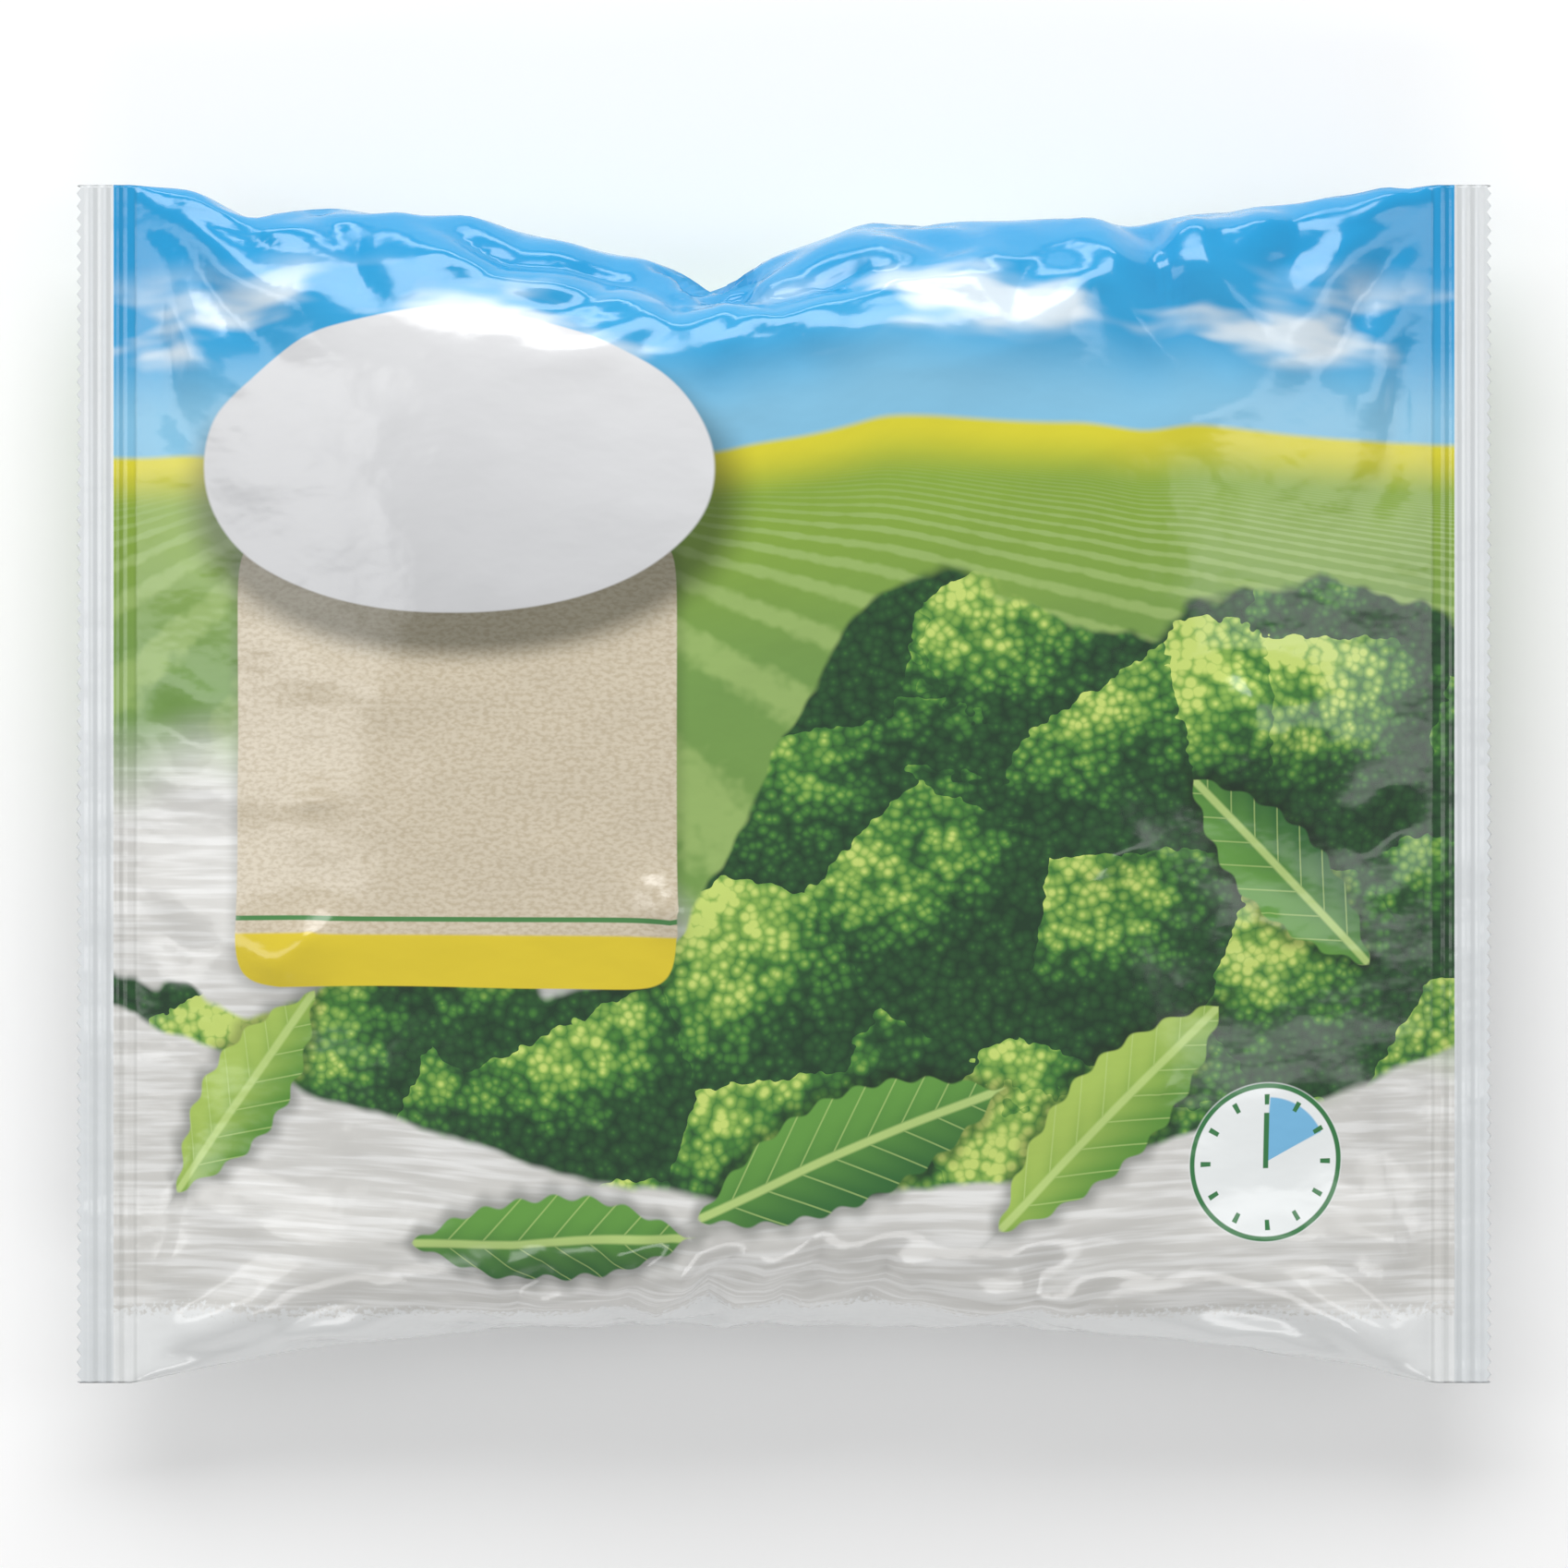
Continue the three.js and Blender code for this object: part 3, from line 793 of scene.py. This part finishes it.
def film_gloss(s, x, y):
    """Shine and crinkles that printed and bare film share."""
    place = s.point(x, y)
    s.give(s.surface.inputs["Roughness"], s.add(0.1, s.times(s.noise(place, 0.12, 1.0), 0.12)))
    s.surface.inputs["Coat Weight"].default_value = 0.35
    s.surface.inputs["Coat Roughness"].default_value = 0.08
    s.surface.inputs["Specular IOR Level"].default_value = 0.6
    waves = s.noise(place, 0.055, 1.0)
    ripples = s.noise(s.point(s.times(x, 0.7), y), 0.2, 2.0)
    normal = s.bump(waves, 0.0022, 0.4)
    normal = s.bump(ripples, 0.0006, 0.34, normal)
    s.give(s.surface.inputs["Normal"], normal)


def web_coordinates(s):
    flat = s.node("SeparateXYZ", {0: s.node("UVMap", uv_map="web").outputs[0]})
    x = s.times(s.less(flat.outputs[0], 0.5), BAG_LENGTH / MM)
    y = s.times(s.less(flat.outputs[1], 0.5), GIRTH / MM)
    return x, y


PRINT_MARGIN = 6.35             # bare film at each cut end, in millimetres


def printed_film(made=[]):
    if made:
        return made[0]
    s = Shader("printed_film")
    x, y = web_coordinates(s)
    front = labels_print(s, x, y, front_print(s, x, y))
    colour = s.mix(s.step(s.maths("ABSOLUTE", y), 99, 104), front, back_print(s, x, y))
    edge = BAG_LENGTH / 2 / MM - PRINT_MARGIN
    bare = s.step(s.maths("ABSOLUTE", x), edge - 0.1, edge + 0.1)
    colour = s.mix(bare, colour, paint(218, 222, 224))
    # painted shade: the colour is darkened in the grooves between the crimped ribs of the end seals
    from_rib = s.times(s.less(s.maths("ABSOLUTE", x), FIRST_RIB / MM), 2 * math.pi / (RIB_PITCH / MM))
    groove_shade = s.step(s.maths("COSINE", from_rib), 0.2, -0.9)
    crimped = s.between(s.maths("ABSOLUTE", x), END / MM - 0.5, TIP / MM - 2.2, 0.3)
    colour = s.darken(colour, s.times(s.times(groove_shade, crimped), 0.16))
    s.give(s.surface.inputs["Base Color"], colour)
    film_gloss(s, x, y)
    made.append(s.material)
    return s.material


def bare_film(made=[]):
    if made:
        return made[0]
    s = Shader("bare_film")
    x, y = web_coordinates(s)
    haze = s.noise(s.point(x, y), 0.08, 3.0)
    s.give(s.surface.inputs["Base Color"], s.mix(haze, paint(214, 218, 220), paint(230, 232, 232)))
    film_gloss(s, x, y)
    made.append(s.material)
    return s.material


# ---- The florets ---------------------------------------------------------------------------------

def floret_material():
    s = Shader("frozen_floret")
    crown = s.node("Attribute", attribute_name="crown").outputs["Fac"]
    place = s.node("TexCoord").outputs["Object"]
    buds = s.cells(place, 620).outputs["Distance"]
    mottle = s.noise(place, 160, 3.0)
    head = s.mix(s.step(buds, 0.15, 0.6), paint(112, 152, 74), paint(38, 80, 34))
    head = s.mix(s.times(mottle, 0.5), head, paint(70, 116, 52))
    strands = s.noise(place, 240, 2.0)
    stalk = s.mix(strands, paint(158, 184, 104), paint(190, 206, 140))
    colour = s.mix(s.step(crown, 0.3, 0.55), stalk, head)
    frost = s.step(s.noise(place, 420, 4.0), 0.55, 0.72)
    s.give(s.surface.inputs["Base Color"], s.mix(s.times(frost, 0.55), colour, paint(226, 234, 232)))
    s.give(s.surface.inputs["Roughness"], s.add(0.5, s.times(frost, 0.3)))
    s.give(s.surface.inputs["Normal"], s.bump(s.add(buds, s.times(strands, 0.3)), 0.0008, 0.5))
    return s.material


def florets():
    """Each piece of broccoli: its plain solid, subdivided, with lobes and buds raised on its crown."""
    material = floret_material()
    for name in floret_names():
        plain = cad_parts[name]
        make_active(plain)
        bpy.ops.object.duplicate()
        piece = bpy.context.object
        piece.name = "frozen_" + name
        piece.data.name = piece.name
        bpy.ops.object.mode_set(mode="EDIT")
        bpy.ops.mesh.select_all(action="SELECT")
        bpy.ops.mesh.remove_doubles(threshold=0.01 * MM)
        bpy.ops.object.mode_set(mode="OBJECT")
        smoother = piece.modifiers.new("smoother", "SUBSURF")
        smoother.levels = smoother.render_levels = 2
        bpy.ops.object.modifier_apply(modifier=smoother.name)
        mesh = piece.data
        points = points_of(mesh)
        middle = points.mean(axis=0)
        away = points - middle
        axis = np.linalg.svd(away - away.mean(axis=0), full_matrices=False)[2][0]
        along = away @ axis
        if np.linalg.norm(away - np.outer(along, axis), axis=1)[along > 0].mean() < \
                np.linalg.norm(away - np.outer(along, axis), axis=1)[along < 0].mean():
            along = -along
        crown = smooth_step(along, -0.25 * along.max(), 0.1 * along.max())
        raised = np.array([
            0.9 - noise.voronoi(Vector(p) * 260)[0][0] * 1.3 + 0.6 - noise.voronoi(Vector(p) * 620)[0][0]
            for p in points])
        set_points(mesh, points + normals_of(mesh) * (raised * crown * 0.7 * MM - 1.0 * MM)[:, None])
        mark = mesh.attributes.new("crown", "FLOAT", "POINT")
        mark.data.foreach_set("value", crown)
        mesh.materials.clear()
        mesh.materials.append(material)
        bpy.ops.object.shade_smooth()
        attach(piece, "root")
        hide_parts(name)


# ---- Floor, lights and camera --------------------------------------------------------------------

def floor():
    deselect()
    bpy.ops.mesh.primitive_plane_add(size=6, location=(0, 0, 0))
    plane = bpy.context.object
    plane.name = "floor"
    s = Shader("floor_paint")
    place = s.node("TexCoord").outputs["Object"]
    white = s.mix(s.noise(place, 3.0), (0.97, 0.97, 0.97, 1), (0.99, 0.99, 0.99, 1))
    s.give(s.surface.inputs["Base Color"], white)
    s.surface.inputs["Roughness"].default_value = 0.9
    s.surface.inputs["Specular IOR Level"].default_value = 0.1
    plane.data.materials.append(s.material)


def soft_box(name, place, width, height, power):
    light = bpy.data.lights.new(name, "AREA")
    light.shape = "RECTANGLE"
    light.size, light.size_y = width, height
    light.energy = power
    lamp = bpy.data.objects.new(name, light)
    bpy.context.scene.collection.objects.link(lamp)
    lamp.location = place
    lamp.rotation_euler = (-Vector(place)).to_track_quat("-Z", "Y").to_euler()


def lights():
    soft_box("far_box", (-0.15, 1.0, 0.95), 1.3, 0.72, 12.5)
    soft_box("low_far_box", (-0.1, 1.4, 0.26), 1.5, 0.16, 3.6)
    soft_box("right_box", (1.0, 0.1, 0.7), 0.25, 1.0, 1.3)
    soft_box("left_box", (-1.0, 0.1, 0.7), 0.25, 1.0, 1.5)
    soft_box("near_box", (0.1, -1.0, 0.85), 1.1, 0.3, 3)
    world = bpy.data.worlds.new("studio")
    world.use_nodes = True
    background = world.node_tree.nodes["Background"]
    background.inputs["Color"].default_value = (1, 1, 1, 1)
    background.inputs["Strength"].default_value = 0.43
    scene = bpy.context.scene
    scene.world = world
    scene.view_settings.view_transform = "Standard"


def camera():
    """Looks straight down from far off, with the bag's long side across the picture."""
    lens = bpy.data.cameras.new("camera")
    eye = bpy.data.objects.new("camera", lens)
    bpy.context.scene.collection.objects.link(eye)
    height = 2.2
    eye.location = (0, 0, height)
    shown = 1.1062 * BAG_LENGTH
    lens.sensor_width = 36
    lens.lens = 36 * (height - SEAL_HEIGHT) / shown
    lens.clip_end = 20
    bpy.context.scene.camera = eye


camera()
lights()
floor()
film()
florets()
